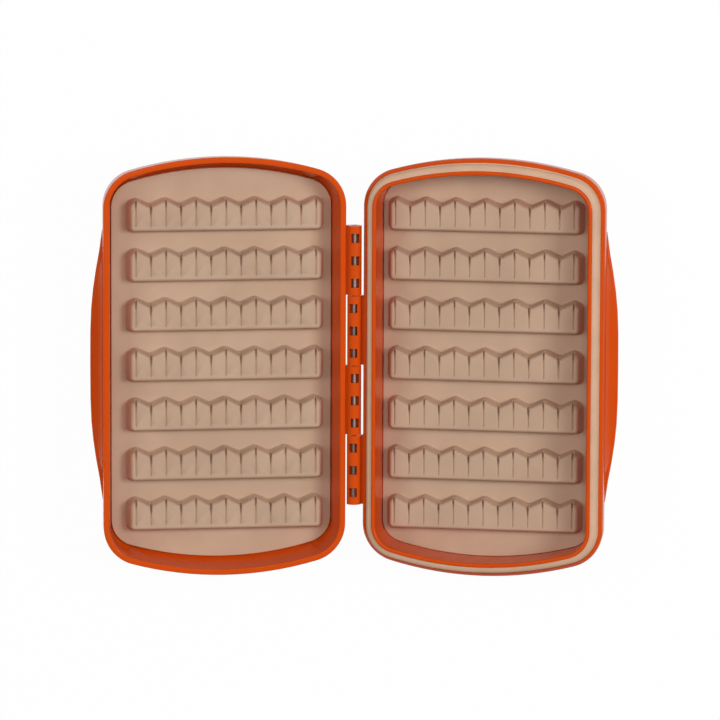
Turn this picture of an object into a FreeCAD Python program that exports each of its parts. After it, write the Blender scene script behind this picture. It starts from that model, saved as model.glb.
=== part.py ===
import FreeCAD
import Part
import math
import os

# Fly box open in a shallow V on its hinge-side edges. Millimetres, +Z up,
# hinge axis along Y over the origin, base on +X, lid on -X.
# Each half is drawn flat, with its rim on z = 0, and then tilted about the hinge.

# Plan outline of a half at the rim
half_width = 102.5
half_length = 177.4
end_arc_radius = 145.0
corner_radius = 16.5
hinge_gap = 3.5
rim_gap = 0.2

# Moulded shells
half_depth = 17.5
floor_thickness = 2.0
back_edge_radius = 6.0
outer_draft = math.radians(4.0)
draft_start_drop = 0.5
floor_overlap = 12.0
open_tilt = math.radians(9.0)

# Lid rim and cavity
lid_rim_width = 2.5
lid_inner_round = 0.5
lid_wall_draft = math.radians(6.6)

# Base rim, gasket channel and raised lip
base_shoulder_drop = 1.8
base_shoulder_width = 1.3
base_rim_width = 1.75
channel_width = 3.0
channel_depth = 3.0
lip_width = 1.7
lip_height = 5.4
lip_round = 0.6
base_wall_draft = math.radians(0.2)
rim_flats = 2
back_edge_flats = 4
shoulder_flats = 2

# Rim gasket
gasket_side_clearance = 0.05
gasket_land_width = 0.95
gasket_land_drop = 0.2
gasket_crown_height = 4.4
gasket_bulge_in_shares = (0.05, 0.27)
gasket_bulge_up_shares = (0.68, 0.90)

# Finger grip flare on the outer side of each half
grip_reach = 4.25
grip_half_length = 57.5
grip_top_drop = 2.8
grip_edge_drop = 13.0
grip_edge_thickness = 2.0
grip_root_drop = 16.0
grip_root_inset = 4.3
grip_start_inset = 1.3
grip_hidden_reach = -0.9
grip_curve_in_share = 0.22
grip_curve_down_share = 0.66
grip_station_shares = (0.0, 0.25, 0.42, 0.56, 0.70, 0.84, 1.0)
grip_reach_shares = (1.0, 0.985, 0.91, 0.76, 0.53, 0.25, 0.0)

# Hinge
knuckle_count = 4
knuckle_pitch = 29.7
knuckle_end_gap = 0.3
knuckle_radius = 3.0
knuckle_web_top_drop = 0.4
knuckle_web_depth = 3.0
knuckle_web_root = 0.6
pin_radius = 1.0
pin_running_clearance = 0.05
pin_end_recess = 0.3
knurl_length = 16.0
knurl_grooves = 16
knurl_groove_width = 0.16
knurl_groove_depth = 0.14
windows_per_knuckle = 3
window_pitch = 9.5
window_width = 3.4
window_length = 3.8
window_floor_drop = 1.3

# Silicone mats
adhesive_thickness = 0.2
mat_thickness = 1.8
lid_mat_side_inset = 4.6
lid_mat_end_inset = 5.9
base_mat_side_inset = 6.6
base_mat_end_inset = 6.6
ridge_rows = 7
lid_ridge_shift = 1.3
base_ridge_shift = 0.7
ridge_side_clearance = 2.7
ridge_row_clearance = 18.62
ridge_height = 6.6
ridge_foot = 7.6
ridge_peak = 7.6
ridge_valley = 4.55
ridge_end_reach = 3.15
ridge_corner_radius = 1.6
ridge_corner_drop = 2.6
ridge_peak_flat = 1.9
ridge_valley_flat = 0.9
slit_count = 13
slit_mouth_width = 1.1
slit_foot_gap = 3.0
slit_floor_gap = 1.2
slit_overrun = 0.5

# Closing magnets moulded into the grip side
magnet_count = 3
magnet_spacing = 34.0
magnet_length = 10.0
magnet_thickness = 1.3
magnet_height = 3.0
lid_magnet_drop = 0.9
lid_magnet_inset = 0.65
base_magnet_drop = 3.9
base_magnet_inset = 2.0

X_AXIS = FreeCAD.Vector(1, 0, 0)
Y_AXIS = FreeCAD.Vector(0, 1, 0)
Z_AXIS = FreeCAD.Vector(0, 0, 1)
ORIGIN = FreeCAD.Vector(0, 0, 0)

half_centre = hinge_gap + half_width / 2
inner_floor = floor_thickness - half_depth

# The ridges fill the narrower mat, the base's, up to their clearances
base_mat_reach = half_width / 2 - base_mat_side_inset
ridge_reach = base_mat_reach - ridge_side_clearance - base_ridge_shift
slit_pitch = 2 * (ridge_reach - ridge_end_reach) / (slit_count - 1)
end_row_y = half_length / 2 - base_mat_end_inset - ridge_row_clearance
ridge_pitch = 2 * end_row_y / (ridge_rows - 1)


# How far the drafted outer wall has come in at a depth below the rim
def draft_inset(drop):
    return (drop - draft_start_drop) * math.tan(outer_draft)


# Height of the hinge axis over the table
def hinge_height():
    centre_drop = half_depth - back_edge_radius
    wall_in = draft_inset(centre_drop) + back_edge_radius / math.cos(outer_draft)
    centre_out = hinge_gap + wall_in
    below_axis = centre_drop + rim_gap / 2
    low = below_axis * math.cos(open_tilt) - centre_out * math.sin(open_tilt)
    return low + back_edge_radius


# Plan outline pieces: straight sides and tangent arcs
def outline_numbers(side_inset, end_inset):
    a = half_width / 2 - side_inset
    b = half_length / 2 - end_inset
    big = end_arc_radius - end_inset
    small = corner_radius - (side_inset + end_inset) / 2
    big_y = b - big
    small_x = a - small
    small_y = big_y + math.sqrt((big - small) ** 2 - small_x ** 2)
    turn = math.atan2(small_y - big_y, small_x)
    return a, b, big, small, big_y, small_x, small_y, turn


def plan_face(side_inset, end_inset, z):
    a, b, big, small, big_y, sx, sy, turn = outline_numbers(side_inset, end_inset)
    half_turn = turn / 2

    def spot(x, y):
        return FreeCAD.Vector(half_centre + x, y, z)

    cx = small * math.cos(turn)
    cy = small * math.sin(turn)
    mx = small * math.cos(half_turn)
    my = small * math.sin(half_turn)
    edges = [
        Part.makeLine(spot(a, -sy), spot(a, sy)),
        Part.Arc(spot(a, sy), spot(sx + mx, sy + my), spot(sx + cx, sy + cy)).toShape(),
        Part.Arc(spot(sx + cx, sy + cy), spot(0, b), spot(-sx - cx, sy + cy)).toShape(),
        Part.Arc(spot(-sx - cx, sy + cy), spot(-sx - mx, sy + my), spot(-a, sy)).toShape(),
        Part.makeLine(spot(-a, sy), spot(-a, -sy)),
        Part.Arc(spot(-a, -sy), spot(-sx - mx, -sy - my), spot(-sx - cx, -sy - cy)).toShape(),
        Part.Arc(spot(-sx - cx, -sy - cy), spot(0, -b), spot(sx + cx, -sy - cy)).toShape(),
        Part.Arc(spot(sx + cx, -sy - cy), spot(sx + mx, -sy - my), spot(a, -sy)).toShape(),
    ]
    return Part.Face(Part.Wire(edges))


def slab(side_inset, end_inset, z_low, thickness):
    return plan_face(side_inset, end_inset, z_low).extrude(Z_AXIS * thickness)


# A wall section carried once round the outline.
# Each step of the section is a line to a point or an arc through two points,
# as (inset from the outline, height).
def section_face(steps, reach, sign):
    def spot(pair):
        return FreeCAD.Vector(sign * (reach - pair[0]), 0, pair[1])

    edges = []
    here = steps[0][-1]
    for step in steps[1:]:
        if len(step) == 1:
            edges.append(Part.makeLine(spot(here), spot(step[0])))
        else:
            edges.append(Part.Arc(spot(here), spot(step[0]), spot(step[1])).toShape())
        here = step[-1]
    return Part.Face(Part.Wire(edges))


def ring(steps):
    a, b, big, small, big_y, sx, sy, turn = outline_numbers(0, 0)
    corner_deg = math.degrees(turn)
    end_deg = 180 - 2 * corner_deg
    pieces = []
    for sign in (1, -1):
        side = section_face(steps, a, sign)
        side.translate(FreeCAD.Vector(half_centre, -sy, 0))
        pieces.append(side.extrude(Y_AXIS * (2 * sy)))
    turns = (
        (sx, sy, small, 0, corner_deg),
        (0, big_y, big, corner_deg, end_deg),
        (-sx, sy, small, corner_deg + end_deg, corner_deg),
        (-sx, -sy, small, 180, corner_deg),
        (0, -big_y, big, 180 + corner_deg, end_deg),
        (sx, -sy, small, 360 - corner_deg, corner_deg),
    )
    for x, y, radius, start, sweep in turns:
        face = section_face(steps, radius, 1)
        piece = face.revolve(ORIGIN, Z_AXIS, sweep)
        piece.rotate(ORIGIN, Z_AXIS, start)
        piece.translate(FreeCAD.Vector(half_centre + x, y, 0))
        pieces.append(piece)
    joined = pieces[0].multiFuse(pieces[1:])
    return joined.removeSplitter()


# Points along a small round, taken as short flats, ending on its last point
def round_steps(corner, radius_in, radius_up, start_deg, end_deg, flats):
    steps = []
    for number in range(flats):
        angle = math.radians(start_deg + (end_deg - start_deg) * (number + 1) / flats)
        spot_in = corner[0] + radius_in * math.cos(angle)
        spot_up = corner[1] + radius_up * math.sin(angle)
        steps.append(((spot_in, spot_up),))
    return steps


# Outside of a shell from the floor round the back edge up to the wall top.
# The back edge has a corner where it stands on the table.
def outside_steps(wall_top_drop):
    centre_drop = half_depth - back_edge_radius
    centre_in = draft_inset(centre_drop) + back_edge_radius / math.cos(outer_draft)
    centre = (centre_in, -centre_drop)
    stand_deg = 270 - math.degrees(open_tilt)
    wall_deg = 180 + math.degrees(outer_draft)
    steps = [((floor_overlap, inner_floor),)]
    steps.append(((floor_overlap, -half_depth),))
    steps.append(((centre_in, -half_depth),))
    steps.extend(round_steps(centre, back_edge_radius, back_edge_radius, 270, stand_deg, 1))
    steps.extend(round_steps(centre, back_edge_radius, back_edge_radius, stand_deg, wall_deg, back_edge_flats))
    steps.append(((draft_inset(wall_top_drop), -wall_top_drop),))
    return steps


def lid_steps():
    floor_in = lid_rim_width + (-inner_floor) * math.tan(lid_wall_draft)
    inner_corner = (lid_rim_width - lid_inner_round, -lid_inner_round)
    outer_corner = (draft_start_drop, -draft_start_drop)
    steps = [((draft_start_drop, 0),)]
    steps.append(((lid_rim_width - lid_inner_round, 0),))
    steps.extend(round_steps(inner_corner, lid_inner_round, lid_inner_round, 90, 0, rim_flats))
    steps.append(((floor_in, inner_floor),))
    steps.extend(outside_steps(draft_start_drop))
    steps.extend(round_steps(outer_corner, draft_start_drop, draft_start_drop, 180, 90, rim_flats))
    return steps


def base_steps():
    lip_out = base_rim_width + channel_width
    lip_in = lip_out + lip_width
    lip_side = lip_height - lip_round
    floor_in = lip_in + (lip_side - inner_floor) * math.tan(base_wall_draft)
    shoulder_corner = (base_shoulder_width, -base_shoulder_drop)
    shoulder_in = base_shoulder_width - draft_inset(base_shoulder_drop)
    outer_corner = (lip_out + lip_round, lip_side)
    inner_corner = (lip_in - lip_round, lip_side)
    steps = [((base_shoulder_width, 0),)]
    steps.append(((base_rim_width, 0),))
    steps.append(((base_rim_width, -channel_depth),))
    steps.append(((lip_out, -channel_depth),))
    steps.append(((lip_out, lip_side),))
    steps.extend(round_steps(outer_corner, lip_round, lip_round, 180, 90, rim_flats))
    steps.append(((lip_in - lip_round, lip_height),))
    steps.extend(round_steps(inner_corner, lip_round, lip_round, 90, 0, rim_flats))
    steps.append(((floor_in, inner_floor),))
    steps.extend(outside_steps(base_shoulder_drop))
    steps.extend(round_steps(shoulder_corner, shoulder_in, base_shoulder_drop, 180, 90, shoulder_flats))
    return steps


# Flared finger grip, lofted through sections along the outer side
def grip_section(reach, y):
    outline_x = hinge_gap + half_width

    def spot(out, drop):
        return FreeCAD.Vector(outline_x + out, y, -drop)

    start_in = -grip_start_inset
    tip_top = reach - grip_edge_thickness / 2
    tip_low = grip_edge_drop + grip_edge_thickness
    run = tip_top - grip_hidden_reach
    fall = grip_edge_drop - grip_top_drop
    belly_out = grip_hidden_reach + run * grip_curve_in_share
    belly_drop = grip_top_drop + fall * grip_curve_down_share
    nose_drop = grip_edge_drop + grip_edge_thickness / 2
    edges = [
        Part.makeLine(spot(start_in, grip_top_drop), spot(grip_hidden_reach, grip_top_drop)),
        Part.Arc(
            spot(grip_hidden_reach, grip_top_drop),
            spot(belly_out, belly_drop),
            spot(tip_top, grip_edge_drop),
        ).toShape(),
        Part.Arc(
            spot(tip_top, grip_edge_drop),
            spot(reach, nose_drop),
            spot(tip_top, tip_low),
        ).toShape(),
        Part.makeLine(spot(tip_top, tip_low), spot(-grip_root_inset, grip_root_drop)),
        Part.makeLine(spot(-grip_root_inset, grip_root_drop), spot(start_in, grip_top_drop)),
    ]
    return Part.Wire(edges)


def grip():
    stations = []
    for share, reach_share in zip(grip_station_shares, grip_reach_shares):
        reach = grip_hidden_reach + (grip_reach - grip_hidden_reach) * reach_share
        stations.append((share * grip_half_length, reach))
    wires = []
    for y, reach in reversed(stations[1:]):
        wires.append(grip_section(reach, -y))
    for y, reach in stations:
        wires.append(grip_section(reach, y))
    return Part.makeLoft(wires, True, True)


# Hinge knuckles: a barrel, a web to the wall, a bore and three windows.
# The hinge axis stands half the closed rim gap above the rim.
axis_z = rim_gap / 2


def knuckle_start(index):
    top = knuckle_pitch * knuckle_count / 2
    return top - knuckle_pitch * (index + 1)


def knuckle_solid(index):
    low = knuckle_start(index) + knuckle_end_gap / 2
    length = knuckle_pitch - knuckle_end_gap
    foot = FreeCAD.Vector(0, low, axis_z)
    barrel = Part.makeCylinder(knuckle_radius, length, foot, Y_AXIS)
    web_low = FreeCAD.Vector(0, low, -knuckle_web_depth)
    web_height = knuckle_web_depth - knuckle_web_top_drop
    web = Part.makeBox(hinge_gap + knuckle_web_root, length, web_height, web_low)
    return barrel.fuse(web)


def knuckle_cut(index, bore_radius):
    low = knuckle_start(index)
    foot = FreeCAD.Vector(0, low, axis_z)
    cutter = Part.makeCylinder(bore_radius, knuckle_pitch, foot, Y_AXIS)
    middle = low + knuckle_pitch / 2
    first = middle - window_pitch * (windows_per_knuckle - 1) / 2
    windows = []
    for number in range(windows_per_knuckle):
        y = first + number * window_pitch - window_length / 2
        corner = FreeCAD.Vector(-window_width / 2, y, axis_z - window_floor_drop)
        height = knuckle_radius + window_floor_drop
        windows.append(Part.makeBox(window_width, window_length, height, corner))
    return cutter.multiFuse(windows)


def with_knuckles(shell, indices, press_index):
    running = pin_radius + pin_running_clearance
    shell = shell.multiFuse([knuckle_solid(i) for i in indices])
    for i in indices:
        radius = running
        if i == press_index:
            radius = pin_radius
        shell = shell.cut(knuckle_cut(i, radius))
    return shell


# Magnets along the grip side
def magnet_blocks(inset, drop):
    outer = hinge_gap + half_width - inset - magnet_thickness
    blocks = []
    for number in range(magnet_count):
        y = (number - (magnet_count - 1) / 2) * magnet_spacing - magnet_length / 2
        corner = FreeCAD.Vector(outer, y, -drop - magnet_height)
        blocks.append(Part.makeBox(magnet_thickness, magnet_length, magnet_height, corner))
    return blocks


# One moulded ridge with its zigzag edge, rounded ends and tapered slits
def ridge(shift):
    span = slit_pitch * (slit_count - 1) / 2
    end = span + ridge_end_reach
    middle_x = half_centre - shift
    low_z = inner_floor + adhesive_thickness + mat_thickness
    overlap_z = low_z - mat_thickness / 2
    foot = -ridge_foot
    flat = ridge_peak_flat / 2
    notch = ridge_valley_flat / 2
    bend = ridge_corner_radius * (1 - math.sqrt(0.5))

    def spot(x, y):
        return FreeCAD.Vector(middle_x + x, y, overlap_z)

    edges = []
    edges.append(Part.makeLine(spot(ridge_corner_radius - end, foot), spot(end - ridge_corner_radius, foot)))
    edges.append(Part.Arc(
        spot(end - ridge_corner_radius, foot),
        spot(end - bend, foot + bend),
        spot(end, foot + ridge_corner_radius),
    ).toShape())
    top = [spot(end, foot + ridge_corner_radius), spot(end, ridge_peak - ridge_corner_drop)]
    for number in reversed(range(slit_count)):
        x = number * slit_pitch - span
        if number % 2 == 0:
            top.append(spot(x + flat, ridge_peak))
            top.append(spot(x - flat, ridge_peak))
        else:
            top.append(spot(x + notch, ridge_valley))
            top.append(spot(x - notch, ridge_valley))
    top.append(spot(-end, ridge_peak - ridge_corner_drop))
    top.append(spot(-end, foot + ridge_corner_radius))
    for here, there in zip(top, top[1:]):
        edges.append(Part.makeLine(here, there))
    edges.append(Part.Arc(
        spot(-end, foot + ridge_corner_radius),
        spot(bend - end, foot + bend),
        spot(ridge_corner_radius - end, foot),
    ).toShape())
    block = Part.Face(Part.Wire(edges)).extrude(Z_AXIS * (ridge_height + mat_thickness / 2))
    slits = []
    cut_low = low_z + slit_floor_gap
    cut_height = ridge_height - slit_floor_gap + slit_overrun
    for number in range(slit_count):
        x = number * slit_pitch - span
        mouth_y = ridge_peak
        if number % 2 == 1:
            mouth_y = ridge_valley
        tip_y = foot + slit_foot_gap
        mouth = slit_mouth_width / 2
        over_y = mouth_y + slit_overrun
        shape = [(x, tip_y), (x + mouth, over_y), (x - mouth, over_y), (x, tip_y)]
        points = [FreeCAD.Vector(middle_x + px, py, cut_low) for px, py in shape]
        slits.append(Part.Face(Part.makePolygon(points)).extrude(Z_AXIS * cut_height))
    return block.cut(Part.makeCompound(slits))


def mat(side_inset, end_inset, shift):
    plate_low = inner_floor + adhesive_thickness
    plate = slab(side_inset, end_inset, plate_low, mat_thickness)
    one = ridge(shift)
    rows = []
    for number in range(ridge_rows):
        copy = one.copy()
        y = (number - (ridge_rows - 1) / 2) * ridge_pitch
        copy.translate(FreeCAD.Vector(0, y, 0))
        rows.append(copy)
    return plate.multiFuse(rows)


def gasket():
    outer = base_rim_width + gasket_side_clearance
    inner = base_rim_width + channel_width - gasket_side_clearance
    land = outer + gasket_land_width
    rise = gasket_crown_height + gasket_land_drop
    steps = [((outer, -channel_depth),)]
    steps.append(((outer, -gasket_land_drop),))
    steps.append(((land, -gasket_land_drop),))
    for in_share, up_share in zip(gasket_bulge_in_shares, gasket_bulge_up_shares):
        steps.append(((land + (inner - land) * in_share, rise * up_share - gasket_land_drop),))
    steps.append(((inner, gasket_crown_height),))
    steps.append(((inner, -channel_depth),))
    steps.append(((outer, -channel_depth),))
    return ring(steps)


def pin():
    reach = knuckle_pitch * knuckle_count / 2 - pin_end_recess
    foot = FreeCAD.Vector(0, -reach, 0)
    rod = Part.makeCylinder(pin_radius, 2 * reach, foot, Y_AXIS)
    grooves = []
    for number in range(knurl_grooves):
        corner = FreeCAD.Vector(-knurl_groove_width / 2, -reach, pin_radius - knurl_groove_depth)
        groove = Part.makeBox(knurl_groove_width, knurl_length, pin_radius, corner)
        groove.rotate(ORIGIN, Y_AXIS, number * 360 / knurl_grooves)
        grooves.append(groove)
    rod = rod.cut(Part.makeCompound(grooves))
    rod.translate(Z_AXIS * axis_z)
    return rod


# Place a piece of the base or of the lid in the open box
def place_base(shape):
    placed = shape.copy()
    placed.translate(Z_AXIS * -axis_z)
    placed.rotate(ORIGIN, Y_AXIS, -math.degrees(open_tilt))
    placed.translate(Z_AXIS * hinge_height())
    return placed


def place_lid(shape):
    placed = shape.mirror(ORIGIN, X_AXIS)
    placed.translate(Z_AXIS * -axis_z)
    placed.rotate(ORIGIN, Y_AXIS, math.degrees(open_tilt))
    placed.translate(Z_AXIS * hinge_height())
    return placed


def one_solid(shape):
    shape = shape.removeSplitter()
    if shape.ShapeType == "Solid":
        return shape
    return shape.Solids[0]


os.makedirs("parts", exist_ok=True)
built = {}

floor_slab = slab(floor_overlap, floor_overlap, -half_depth, floor_thickness)

lid_magnets = magnet_blocks(lid_magnet_inset, lid_magnet_drop)
lid = ring(lid_steps()).multiFuse([floor_slab, grip()])
lid = with_knuckles(lid, (0, 2), None)
lid = lid.cut(Part.makeCompound(lid_magnets))
built["lid_shell"] = place_lid(one_solid(lid))

base_magnets = magnet_blocks(base_magnet_inset, base_magnet_drop)
base = ring(base_steps()).multiFuse([floor_slab, grip()])
base = with_knuckles(base, (1, 3), 3)
base = base.cut(Part.makeCompound(base_magnets))
built["base_shell"] = place_base(one_solid(base))

built["lid_mat"] = place_lid(one_solid(mat(lid_mat_side_inset, lid_mat_end_inset, lid_ridge_shift)))
built["base_mat"] = place_base(one_solid(mat(base_mat_side_inset, base_mat_end_inset, base_ridge_shift)))
lid_sheet = slab(lid_mat_side_inset, lid_mat_end_inset, inner_floor, adhesive_thickness)
built["lid_mat_adhesive"] = place_lid(lid_sheet)
base_sheet = slab(base_mat_side_inset, base_mat_end_inset, inner_floor, adhesive_thickness)
built["base_mat_adhesive"] = place_base(base_sheet)
built["rim_gasket"] = place_base(one_solid(gasket()))
built["hinge_pin"] = place_base(one_solid(pin()))
for place_name, lid_block, base_block in zip(("low", "mid", "top"), lid_magnets, base_magnets):
    built["lid_magnet_" + place_name] = place_lid(lid_block)
    built["base_magnet_" + place_name] = place_base(base_block)

for name, shape in built.items():
    shape.exportStep("parts/" + name + ".step")
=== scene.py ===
import math
import bmesh
import bpy
from mathutils import Matrix, Vector


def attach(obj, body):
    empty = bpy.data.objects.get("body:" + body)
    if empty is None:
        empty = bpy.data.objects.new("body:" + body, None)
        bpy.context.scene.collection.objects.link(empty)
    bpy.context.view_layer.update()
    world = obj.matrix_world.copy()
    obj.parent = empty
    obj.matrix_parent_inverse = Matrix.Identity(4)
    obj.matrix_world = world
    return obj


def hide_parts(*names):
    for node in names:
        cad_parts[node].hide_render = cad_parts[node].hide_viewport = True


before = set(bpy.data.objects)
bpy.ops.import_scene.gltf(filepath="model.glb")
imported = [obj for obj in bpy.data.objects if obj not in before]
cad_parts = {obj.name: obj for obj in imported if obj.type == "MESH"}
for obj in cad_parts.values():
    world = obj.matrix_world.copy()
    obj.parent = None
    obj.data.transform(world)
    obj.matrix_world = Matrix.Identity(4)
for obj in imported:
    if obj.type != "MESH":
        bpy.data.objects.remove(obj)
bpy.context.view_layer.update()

scene = bpy.context.scene


# Base shell: one injection moulding in orange plastic with a fine grain and a soft
# gloss. It carries the rim, gasket channel, raised lip, finger grip and two of the
# hinge knuckles. The mould rounds its sharp edges and eases the step round its rim.
mm = 0.001
hinge_height = 15.84844 * mm
half_tilt = math.radians(9)
rim_below_axis = 0.1 * mm
half_middle = 54.75 * mm
plan_half_width = 51.25 * mm
plan_half_length = 88.7 * mm
plan_end_radius = 145 * mm
plan_corner_radius = 16.5 * mm
weld_distance = 0.002 * mm
edge_round = 0.28 * mm
sharp_edge = math.radians(50)
smooth_edge = math.radians(35)
noise_detail = 3.0
tone_span = (0.35, 0.65)


def new_material(name, colour, roughness):
    material = bpy.data.materials.new(name)
    material.use_nodes = True
    shader = material.node_tree.nodes["Principled BSDF"]
    shader.inputs["Base Color"].default_value = (*colour, 1)
    shader.inputs["Roughness"].default_value = roughness
    return material, material.node_tree, shader


def add_noise(tree, scale, stretch):
    spot = tree.nodes.new("ShaderNodeTexCoord")
    mapping = tree.nodes.new("ShaderNodeMapping")
    mapping.inputs["Scale"].default_value = stretch
    noise = tree.nodes.new("ShaderNodeTexNoise")
    noise.inputs["Scale"].default_value = scale
    noise.inputs["Detail"].default_value = noise_detail
    tree.links.new(spot.outputs["Object"], mapping.inputs["Vector"])
    tree.links.new(mapping.outputs["Vector"], noise.inputs["Vector"])
    return noise


def add_tone(tree, shader, dark, light, scale, stretch=(1, 1, 1)):
    noise = add_noise(tree, scale, stretch)
    ramp = tree.nodes.new("ShaderNodeValToRGB")
    for end, position, colour in zip(ramp.color_ramp.elements, tone_span, (dark, light)):
        end.position = position
        end.color = (*colour, 1)
    tree.links.new(noise.outputs["Fac"], ramp.inputs["Fac"])
    tree.links.new(ramp.outputs["Color"], shader.inputs["Base Color"])


def add_grain(tree, shader, scale, depth, strength, stretch=(1, 1, 1)):
    noise = add_noise(tree, scale, stretch)
    bump = tree.nodes.new("ShaderNodeBump")
    bump.inputs["Distance"].default_value = depth
    bump.inputs["Strength"].default_value = strength
    tree.links.new(noise.outputs["Fac"], bump.inputs["Height"])
    tree.links.new(bump.outputs["Normal"], shader.inputs["Normal"])


orange, orange_tree, orange_shader = new_material(
    "orange_moulded_plastic", (0.69, 0.075, 0.004), 0.20)
orange_shader.inputs["Specular IOR Level"].default_value = 0.12
add_tone(orange_tree, orange_shader, (0.678, 0.0755, 0.0035), (0.702, 0.0795, 0.0045),
         scale=60)
add_grain(orange_tree, orange_shader, scale=2600, depth=0.03 * mm, strength=0.35)


# Each half is drawn flat, with its rim on z = 0 and the hinge at x = 0, and stands
# in a shallow V beside the hinge: the base on +X, the lid mirrored on -X.
def standing_place(side):
    place = Matrix.Translation((0, 0, -rim_below_axis))
    if side == "lid":
        place = Matrix.Scale(-1, 4, (1, 0, 0)) @ place
    turn = half_tilt if side == "lid" else -half_tilt
    place = Matrix.Rotation(turn, 4, "Y") @ place
    return Matrix.Translation((0, 0, hinge_height)) @ place


def inset_from_outline(x, y):
    corner_x = plan_half_width - plan_corner_radius
    arch_y = plan_half_length - plan_end_radius
    reach = plan_end_radius - plan_corner_radius
    corner_y = arch_y + math.sqrt(reach ** 2 - corner_x ** 2)
    x = abs(x)
    y = abs(y)
    if x > corner_x and y > corner_y:
        return plan_corner_radius - math.hypot(x - corner_x, y - corner_y)
    return min(plan_half_width - x, plan_end_radius - math.hypot(x, y - arch_y))


# Moves one ring of a moulding's corners. A ring is listed in millimetres, as the level
# and inset where it lies now, its new level, and its new insets at sides and ends.
def move_ring(piece, side, level, inset, new_level, side_inset, end_inset):
    inset_slack = 0.2 * mm
    level_slack = 0.05 * mm
    place = standing_place(side)
    flat = place.inverted()
    share_x = (plan_half_width - side_inset) / (plan_half_width - inset)
    share_y = (plan_half_length - end_inset) / (plan_half_length - inset)
    for vert in piece.data.vertices:
        spot = flat @ vert.co
        x = spot.x - half_middle
        on_ring = abs(inset_from_outline(x, spot.y) - inset) < inset_slack
        if on_ring and abs(spot.z - level) < level_slack:
            vert.co = place @ Vector((half_middle + x * share_x, spot.y * share_y, new_level))


def pick(piece):
    bpy.ops.object.select_all(action="DESELECT")
    piece.select_set(True)
    bpy.context.view_layer.objects.active = piece


def apply_modifier(piece, kind, **settings):
    pick(piece)
    modifier = piece.modifiers.new(kind.lower(), kind)
    for name, value in settings.items():
        setattr(modifier, name, value)
    bpy.ops.object.modifier_apply(modifier=modifier.name)


def moulded_copy(node, name, body, material, edge=0.0, rings=()):
    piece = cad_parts[node].copy()
    piece.data = piece.data.copy()
    piece.name = name
    piece.data.name = name
    for key in list(piece.keys()):
        del piece[key]
    piece.parent = None
    scene.collection.objects.link(piece)
    pick(piece)
    bpy.ops.object.mode_set(mode="EDIT")
    bpy.ops.mesh.select_all(action="SELECT")
    bpy.ops.mesh.remove_doubles(threshold=weld_distance)
    bpy.ops.object.mode_set(mode="OBJECT")
    for ring in rings:
        move_ring(piece, body, *(length * mm for length in ring))
    if edge:
        apply_modifier(piece, "BEVEL", width=edge, segments=2,
                       limit_method="ANGLE", angle_limit=sharp_edge)
    pick(piece)
    bpy.ops.object.shade_smooth_by_angle(angle=smooth_edge)
    apply_modifier(piece, "WEIGHTED_NORMAL", keep_sharp=True, weight=80)
    piece.data.materials.clear()
    piece.data.materials.append(material)
    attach(piece, body)
    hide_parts(node)


shoulder_rings = ((-0.53, 0.46, -1.05, 0.68, 0.68), (0, 1.3, -0.45, 1.3, 1.3))
moulded_copy("base_shell", "base_shell_moulding", "base", orange,
             edge=edge_round, rings=shoulder_rings)


# Lid shell: the matching moulding with a flat rim and the other two knuckles. Its
# floor is drawn in to the mat at the ends, so the end walls lean as in the mould.
floor_rings = ((-15.5, 4.29, -15.5, 4.55, 5.85),)
moulded_copy("lid_shell", "lid_shell_moulding", "lid", orange,
             edge=edge_round, rings=floor_rings)


# Rim gasket: a soft tan band pressed into the base's channel. It rises against the
# outside of the lip and has a thin flat foot that the lid's rim meets. Its profile is
# swept round the plan, as insets and levels from the foot over the crown to the lip.
corner_steps = 10
arch_steps = 15
gasket_smooth_edge = math.radians(40)
gasket_profile = [(inset * mm, level * mm) for inset, level in (
    (1.83, -2.95), (1.83, -0.15), (2.25, -0.10), (2.25, 2.30), (2.38, 3.15),
    (2.72, 3.80), (3.30, 4.20), (4.10, 4.38), (4.90, 4.40), (4.90, -2.95),
)]


def plan_outline(side_inset, end_inset):
    arch_radius = plan_end_radius - end_inset
    arch_y = plan_half_length - end_inset - arch_radius
    corner_radius = plan_corner_radius - (side_inset + end_inset) / 2
    corner_x = plan_half_width - side_inset - corner_radius
    corner_y = arch_y + math.sqrt((arch_radius - corner_radius) ** 2 - corner_x ** 2)
    turn = math.atan2(corner_y - arch_y, corner_x)
    quarter = []
    for step in range(corner_steps + 1):
        angle = turn * step / corner_steps
        quarter.append((corner_x + corner_radius * math.cos(angle),
                        corner_y + corner_radius * math.sin(angle)))
    for step in range(1, arch_steps + 1):
        angle = turn + (math.pi / 2 - turn) * step / arch_steps
        quarter.append((arch_radius * math.cos(angle), arch_y + arch_radius * math.sin(angle)))
    far = quarter + [(-x, y) for x, y in reversed(quarter[:-1])]
    return far + [(-x, -y) for x, y in far]


def stand_up(piece, side):
    piece.data.transform(standing_place(side) @ piece.matrix_world)
    piece.matrix_world = Matrix.Identity(4)
    if side == "lid":
        piece.data.flip_normals()
    piece.data.update()


gasket_rubber, gasket_tree, gasket_shader = new_material(
    "gasket_rubber", (0.70, 0.47, 0.32), 0.62)
add_tone(gasket_tree, gasket_shader, (0.63, 0.398, 0.256), (0.69, 0.436, 0.284), scale=90)
add_grain(gasket_tree, gasket_shader, scale=900, depth=0.04 * mm, strength=0.3)

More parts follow.
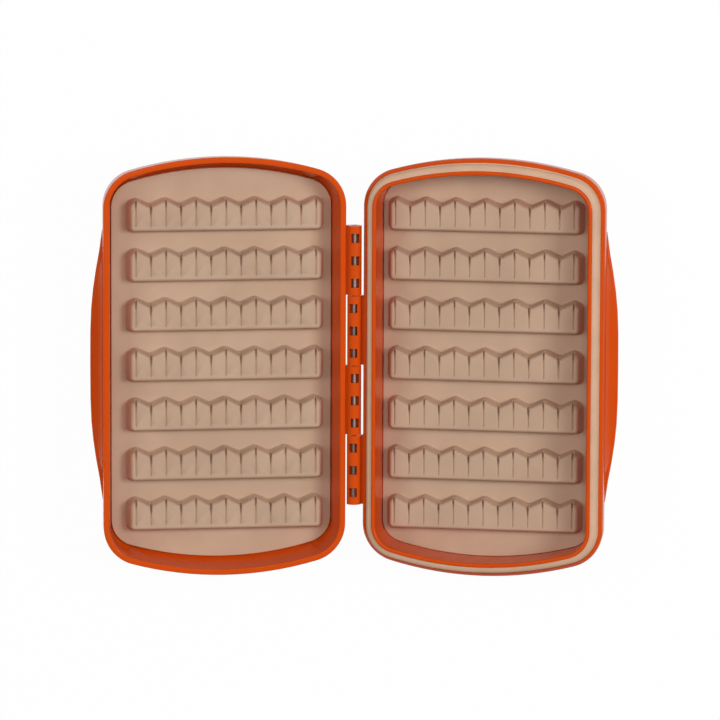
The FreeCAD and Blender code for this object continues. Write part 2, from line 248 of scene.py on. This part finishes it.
gasket_rings = [plan_outline(inset, inset) for inset, level in gasket_profile]
ring_count = len(gasket_rings[0])
bpy.ops.object.select_all(action="DESELECT")
bpy.ops.mesh.primitive_circle_add(
    vertices=ring_count, radius=plan_half_width, fill_type="NOTHING")
rim_gasket = bpy.context.object
rim_gasket.name = "rim_gasket_band"
rim_gasket.data.name = "rim_gasket_band"
for vert, (x, y) in zip(rim_gasket.data.vertices, gasket_rings[0]):
    vert.co = (half_middle + x, y, gasket_profile[0][1])
for ring, (inset, level) in zip(gasket_rings[1:], gasket_profile[1:]):
    bpy.ops.object.mode_set(mode="EDIT")
    bpy.ops.mesh.select_mode(type="VERT")
    bpy.ops.mesh.select_all(action="DESELECT")
    bpy.ops.object.mode_set(mode="OBJECT")
    count = len(rim_gasket.data.vertices)
    for vert in rim_gasket.data.vertices[count - ring_count:]:
        vert.select = True
    bpy.ops.object.mode_set(mode="EDIT")
    bpy.ops.mesh.extrude_region_move()
    bpy.ops.object.mode_set(mode="OBJECT")
    for vert, (x, y) in zip(rim_gasket.data.vertices[count:], ring):
        vert.co = (half_middle + x, y, level)
bpy.ops.object.mode_set(mode="EDIT")
bpy.ops.mesh.select_all(action="DESELECT")
bpy.ops.mesh.select_non_manifold(extend=False)
bpy.ops.mesh.bridge_edge_loops()
bpy.ops.mesh.select_all(action="SELECT")
bpy.ops.mesh.normals_make_consistent(inside=False)
bpy.ops.object.mode_set(mode="OBJECT")
bpy.ops.object.shade_smooth_by_angle(angle=gasket_smooth_edge)
stand_up(rim_gasket, "base")
rim_gasket.data.materials.append(gasket_rubber)
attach(rim_gasket, "base")
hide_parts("rim_gasket")


# Hinge pin: a drawn steel rod pushed through all four knuckles. Its near end is
# knurled and bites in the base's end knuckle.
pin_steel, steel_tree, steel_shader = new_material("pin_steel", (0.33, 0.28, 0.25), 0.58)
steel_shader.inputs["Metallic"].default_value = 1.0
add_tone(steel_tree, steel_shader, (0.26, 0.22, 0.19), (0.40, 0.35, 0.31),
         scale=700, stretch=(1, 0.05, 1))
moulded_copy("hinge_pin", "hinge_pin_rod", "base", pin_steel)


# Silicone mats: each is one soft moulding with a thin floor and seven ridges, stuck
# to its half's floor. A ridge has a straight front, a zigzag back and thirteen cut
# slits that open towards the zigzag, where a hook slides in.
ridge_rows = 7
ridge_pitch = 21.16 * mm
slit_count = 13
slit_pitch = 6.35 * mm
slit_span = slit_pitch * (slit_count - 1)
mat_top = -13.5 * mm
mat_floor = 1.8 * mm
mat_edge_round = 0.25 * mm
mat_edge_steps = ((0.08, 0.14), (0.17, 0.11))
mat_smooth_edge = math.radians(38)

ridge_height = 6.6 * mm
ridge_end = 3.15 * mm
end_slope = 0.7 * mm
end_back_drop = 2.7 * mm
front_y = -7.6 * mm
peak_y = 7.65 * mm
valley_y = 4.6 * mm
foot_flare = 0.3 * mm
peak_round = 1.6 * mm
valley_round = 0.7 * mm
back_corner_round = 1.5 * mm
front_corner_round = 3.0 * mm
place_slack = 0.01 * mm
ridge_steps = (
    (0.22, 0.05), (0.16, 0.14), (0.12, 0.26),
    (0.70, 4.35),
    (0.14, 0.60), (0.26, 0.55), (0.40, 0.42), (0.55, 0.23),
)

slit_start = 2.9 * mm
slit_gap = 0.03 * mm
slit_depth = 0.55 * mm
lip_round = 0.62 * mm
lip_depth = 0.26 * mm
lip_drops = (0.0, 0.12, 0.26, 0.42)
mouth_length = 5.0 * mm
mouth_middle = 2.0 * mm
mouth_gap = 0.52 * mm
mouth_curve = 1.4
mouth_depth = 3.8 * mm
floor_level = 1.0 * mm
tip_length = 1.0 * mm
tip_share = 0.35
cutter_overrun = 1.5 * mm
cutter_rise = 0.3 * mm
cutter_foot = 1.2 * mm


def select_corners(piece, test):
    mesh = bmesh.from_edit_mesh(piece.data)
    mesh.select_mode = {"VERT"}
    for face in mesh.faces:
        face.select = False
    for edge in mesh.edges:
        edge.select = False
    for vert in mesh.verts:
        vert.select = False
    for vert in mesh.verts:
        vert.select = test(vert.co)
    mesh.select_flush_mode()
    bmesh.update_edit_mesh(piece.data)


def ridge_block():
    slope = math.atan2(peak_y - valley_y, slit_pitch)
    back_flare = foot_flare / math.cos(slope)
    end_x = slit_span / 2 + ridge_end + foot_flare
    bpy.ops.object.select_all(action="DESELECT")
    bpy.ops.mesh.primitive_grid_add(x_subdivisions=slit_count - 1, y_subdivisions=1, size=1)
    ridge = bpy.context.object
    ridge.name = "mat_ridge"
    for vert in ridge.data.vertices:
        vert.co.x *= slit_span
        vert.co.y = peak_y + back_flare if vert.co.y > 0 else front_y - foot_flare
    bpy.ops.object.mode_set(mode="EDIT")
    bpy.ops.mesh.select_mode(type="VERT")

    def at_slit(co, odd):
        number = round((co.x + slit_span / 2) / slit_pitch)
        close = abs(co.x + slit_span / 2 - number * slit_pitch) < place_slack
        return co.y > 0 and close and 0 <= number < slit_count and number % 2 == odd

    def at_end(co, slack):
        return abs(co.x) > end_x - slack

    select_corners(ridge, lambda co: at_slit(co, 1))
    bpy.ops.transform.translate(value=(0, valley_y - peak_y, 0))
    for sign in (-1, 1):
        select_corners(ridge, lambda co: abs(co.x - sign * slit_span / 2) < place_slack)
        bpy.ops.mesh.extrude_region_move(
            TRANSFORM_OT_translate={"value": (sign * (ridge_end + foot_flare), 0, 0)})
    select_corners(ridge, lambda co: at_end(co, mm) and co.y > 0)
    bpy.ops.transform.translate(value=(0, -end_back_drop, 0))
    bpy.ops.mesh.select_all(action="SELECT")
    bpy.ops.mesh.dissolve_faces()
    select_corners(ridge, lambda co: abs(co.x) < end_x - mm and co.y < 0)
    bpy.ops.mesh.dissolve_verts()
    for test, radius, flats in (
        (lambda co: at_slit(co, 0), peak_round, 2),
        (lambda co: at_slit(co, 1), valley_round, 2),
        (lambda co: at_end(co, place_slack) and co.y > 0, back_corner_round, 3),
        (lambda co: at_end(co, place_slack) and co.y < 0, front_corner_round, 6),
    ):
        select_corners(ridge, test)
        bpy.ops.mesh.bevel(offset=radius, segments=flats, affect="VERTICES")
    for inward, up in ridge_steps:
        bpy.ops.mesh.select_all(action="DESELECT")
        mesh = bmesh.from_edit_mesh(ridge.data)
        top = max(mesh.faces, key=lambda face: len(face.verts))
        top.select = True
        bmesh.update_edit_mesh(ridge.data)
        bpy.ops.mesh.inset(thickness=inward * mm, depth=up * mm, use_even_offset=True)
    bpy.ops.object.mode_set(mode="OBJECT")
    for vert in ridge.data.vertices:
        beyond = abs(vert.co.x) - slit_span / 2
        low = max(1 - vert.co.z / ridge_height, 0)
        if beyond > 0:
            vert.co.x += math.copysign(end_slope * low * min(beyond / ridge_end, 1), vert.co.x)
        vert.co.z += mat_top
    return ridge


def slit_cutters():
    surface = mat_top + ridge_height
    tip_y = front_y + slit_start
    cutters = []
    for number in range(slit_count):
        x = number * slit_pitch - slit_span / 2
        mouth_y = valley_y if number % 2 else peak_y
        neck_y = mouth_y - mouth_length
        bpy.ops.object.select_all(action="DESELECT")
        bpy.ops.mesh.primitive_cube_add(size=1, location=(0, 0, 0))
        cutter = bpy.context.object
        for vert in cutter.data.vertices:
            vert.co.y = mouth_y + cutter_overrun if vert.co.y > 0 else tip_y
            vert.co.z = surface + cutter_rise if vert.co.z > 0 else mat_top + cutter_foot
        bpy.ops.object.mode_set(mode="EDIT")
        for cut_y in (tip_y + tip_length, neck_y, mouth_y - mouth_middle):
            bpy.ops.mesh.select_all(action="SELECT")
            bpy.ops.mesh.bisect(plane_co=(0, cut_y, 0), plane_no=(0, 1, 0))
        for drop in lip_drops:
            bpy.ops.mesh.select_all(action="SELECT")
            bpy.ops.mesh.bisect(plane_co=(0, 0, surface - drop * mm), plane_no=(0, 0, 1))
        bpy.ops.object.mode_set(mode="OBJECT")
        for vert in cutter.data.vertices:
            drop = max(surface - vert.co.z, -cutter_rise)
            along = max(vert.co.y - neck_y, 0) / mouth_length
            half = slit_gap + lip_round * math.exp(-drop / lip_depth)
            half += mouth_gap * along ** mouth_curve
            if drop > floor_level:
                vert.co.z = surface - slit_depth - mouth_depth * along
            if vert.co.y < tip_y + tip_length / 2:
                half *= tip_share
            vert.co.x = x + math.copysign(half, vert.co.x)
        cutters.append(cutter)
    bpy.ops.object.select_all(action="DESELECT")
    for cutter in cutters:
        cutter.select_set(True)
    bpy.context.view_layer.objects.active = cutters[0]
    bpy.ops.object.join()
    return cutters[0]


ridge_master = ridge_block()
cutter = slit_cutters()
apply_modifier(ridge_master, "BOOLEAN", operation="DIFFERENCE", object=cutter, solver="EXACT")
bpy.data.objects.remove(cutter)

silicone, silicone_tree, silicone_shader = new_material(
    "tan_silicone", (0.52, 0.345, 0.235), 0.68)
silicone_shader.inputs["Specular IOR Level"].default_value = 0.35
add_tone(silicone_tree, silicone_shader, (0.506, 0.338, 0.233), (0.556, 0.379, 0.263),
         scale=45)
add_grain(silicone_tree, silicone_shader, scale=420, depth=0.10 * mm, strength=0.35,
          stretch=(1, 0.04, 1))


def mat_piece(side, side_inset, end_inset, ridge_shift):
    points = plan_outline(side_inset, end_inset)
    bpy.ops.object.select_all(action="DESELECT")
    bpy.ops.mesh.primitive_circle_add(
        vertices=len(points), radius=plan_half_width, fill_type="NGON")
    plate = bpy.context.object
    for vert, (x, y) in zip(plate.data.vertices, points):
        vert.co = (half_middle + x, y, mat_top - mat_floor)
    bpy.ops.object.mode_set(mode="EDIT")
    bpy.ops.mesh.select_all(action="SELECT")
    bpy.ops.mesh.extrude_region_move(
        TRANSFORM_OT_translate={"value": (0, 0, mat_floor - mat_edge_round)})
    for inward, up in mat_edge_steps:
        bpy.ops.mesh.inset(thickness=inward * mm, depth=up * mm, use_even_offset=True)
    bpy.ops.object.mode_set(mode="OBJECT")
    parts = [plate]
    for number in range(ridge_rows):
        row = ridge_master.copy()
        row.data = ridge_master.data.copy()
        scene.collection.objects.link(row)
        shift = (number - (ridge_rows - 1) / 2) * ridge_pitch
        row.data.transform(Matrix.Translation((half_middle - ridge_shift, shift, 0)))
        parts.append(row)
    bpy.ops.object.select_all(action="DESELECT")
    for part in parts:
        part.select_set(True)
    bpy.context.view_layer.objects.active = plate
    bpy.ops.object.join()
    plate.name = side + "_mat_moulding"
    plate.data.name = plate.name
    pick(plate)
    bpy.ops.object.mode_set(mode="EDIT")
    bpy.ops.mesh.select_all(action="SELECT")
    bpy.ops.mesh.normals_make_consistent(inside=False)
    bpy.ops.object.mode_set(mode="OBJECT")
    bpy.ops.object.shade_smooth_by_angle(angle=mat_smooth_edge)
    apply_modifier(plate, "WEIGHTED_NORMAL", keep_sharp=True)
    stand_up(plate, side)
    plate.data.materials.append(silicone)
    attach(plate, side)
    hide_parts(side + "_mat")


mat_piece("lid", side_inset=4.6 * mm, end_inset=5.9 * mm, ridge_shift=1.3 * mm)
mat_piece("base", side_inset=6.6 * mm, end_inset=6.6 * mm, ridge_shift=0.7 * mm)
bpy.data.objects.remove(ridge_master)


# Adhesive films: a clear double-sided sheet under each mat, hidden once it is laid.
# The sheets are die-cut from thin film.
film, film_tree, film_shader = new_material("adhesive_film", (0.80, 0.80, 0.76), 0.4)
add_tone(film_tree, film_shader, (0.76, 0.76, 0.71), (0.82, 0.82, 0.78), scale=120)
for name in ("lid_mat_adhesive", "base_mat_adhesive"):
    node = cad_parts[name]
    node.data.materials.clear()
    node.data.materials.append(film)


# Closing magnets: small nickel-plated bars, three in each shell. They are moulded
# into the grip side, out of sight.
nickel, nickel_tree, nickel_shader = new_material("magnet_nickel", (0.66, 0.64, 0.60), 0.25)
nickel_shader.inputs["Metallic"].default_value = 1.0
add_tone(nickel_tree, nickel_shader, (0.60, 0.58, 0.55), (0.70, 0.68, 0.65), scale=300)
for side in ("lid", "base"):
    for spot in ("low", "mid", "top"):
        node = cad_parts[side + "_magnet_" + spot]
        node.data.materials.clear()
        node.data.materials.append(nickel)


# Studio floor: pale and plain. The camera and the glossy plastic and steel see it
# nearly white, and it keeps the box's shadow.
floor_size = 6
floor_drop = 0.05 * mm
white_share = 0.975
floor_paint = bpy.data.materials.new("studio_floor")
floor_paint.use_nodes = True
floor_tree = floor_paint.node_tree
floor_tree.nodes.clear()
floor_out = floor_tree.nodes.new("ShaderNodeOutputMaterial")
floor_diffuse = floor_tree.nodes.new("ShaderNodeBsdfDiffuse")
floor_diffuse.inputs["Color"].default_value = (0.86, 0.86, 0.86, 1)
floor_glow = floor_tree.nodes.new("ShaderNodeEmission")
floor_glow.inputs["Color"].default_value = (1, 1, 1, 1)
floor_glow.inputs["Strength"].default_value = 1.0
floor_mix = floor_tree.nodes.new("ShaderNodeMixShader")
ray = floor_tree.nodes.new("ShaderNodeLightPath")
seen = ray.outputs["Is Camera Ray"]
for kind in ("Is Glossy Ray", "Is Transmission Ray"):
    either = floor_tree.nodes.new("ShaderNodeMath")
    either.operation = "MAXIMUM"
    floor_tree.links.new(seen, either.inputs[0])
    floor_tree.links.new(ray.outputs[kind], either.inputs[1])
    seen = either.outputs[0]
share = floor_tree.nodes.new("ShaderNodeMath")
share.operation = "MULTIPLY"
share.inputs[1].default_value = white_share
floor_tree.links.new(seen, share.inputs[0])
floor_tree.links.new(share.outputs[0], floor_mix.inputs["Fac"])
floor_tree.links.new(floor_diffuse.outputs[0], floor_mix.inputs[1])
floor_tree.links.new(floor_glow.outputs[0], floor_mix.inputs[2])
floor_tree.links.new(floor_mix.outputs[0], floor_out.inputs["Surface"])
bpy.ops.object.select_all(action="DESELECT")
bpy.ops.mesh.primitive_plane_add(size=floor_size, location=(0, 0, -floor_drop))
floor = bpy.context.object
floor.name = "studio_floor"
floor.data.materials.append(floor_paint)


# Studio light: an even pale room, a soft box overhead and one at each side, high
# enough that the outer walls shade a strip of the mats inside them.
lamp_target = Vector((0, 0, 0.01))
world = bpy.data.worlds.new("studio_room")
scene.world = world
world.use_nodes = True
room = world.node_tree.nodes["Background"]
room.inputs["Color"].default_value = (1, 1, 1, 1)
room.inputs["Strength"].default_value = 0.20


def add_lamp(name, place, size, power):
    light = bpy.data.lights.new(name, "AREA")
    light.shape = "DISK"
    light.size = size
    light.energy = power
    lamp = bpy.data.objects.new(name, light)
    scene.collection.objects.link(lamp)
    lamp.location = place
    aim = lamp_target - Vector(place)
    lamp.rotation_euler = aim.to_track_quat("-Z", "Y").to_euler()


add_lamp("soft_box_overhead", (0.0, 0.5, 2.15), size=0.9, power=12)
add_lamp("soft_box_right", (1.35, 0.35, 1.55), size=0.8, power=20)
add_lamp("soft_box_left", (-1.35, 0.35, 1.55), size=0.8, power=8.5)


# Camera: a long lens over the open box, a little towards its far end. Its distance
# follows from the scale of the picture at the height of the hinge.
picture_px = 720
focal_px = 6500.0
px_per_mm = 2.37416
pitch = math.radians(8.3458)
pan = math.radians(-0.9565)
roll = -0.00375
offset_x = -2.45 * mm
offset_y = -2.12 * mm
camera_data = bpy.data.cameras.new("photo_camera")
camera_data.sensor_width = 36
camera_data.lens = focal_px * camera_data.sensor_width / picture_px
camera_data.clip_end = 20
camera = bpy.data.objects.new("photo_camera", camera_data)
scene.collection.objects.link(camera)
turn = Matrix.Rotation(roll, 3, "Z") @ Matrix.Rotation(pitch, 3, "X")
turn = turn @ Matrix.Rotation(pan, 3, "Y")
away = focal_px / px_per_mm * mm
back = turn.transposed()
eye = -(back @ Vector((offset_x, offset_y, -away))) + Vector((0, 0, hinge_height))
camera.matrix_world = Matrix.Translation(eye) @ back.to_4x4()
scene.camera = camera
scene.view_settings.view_transform = "Standard"
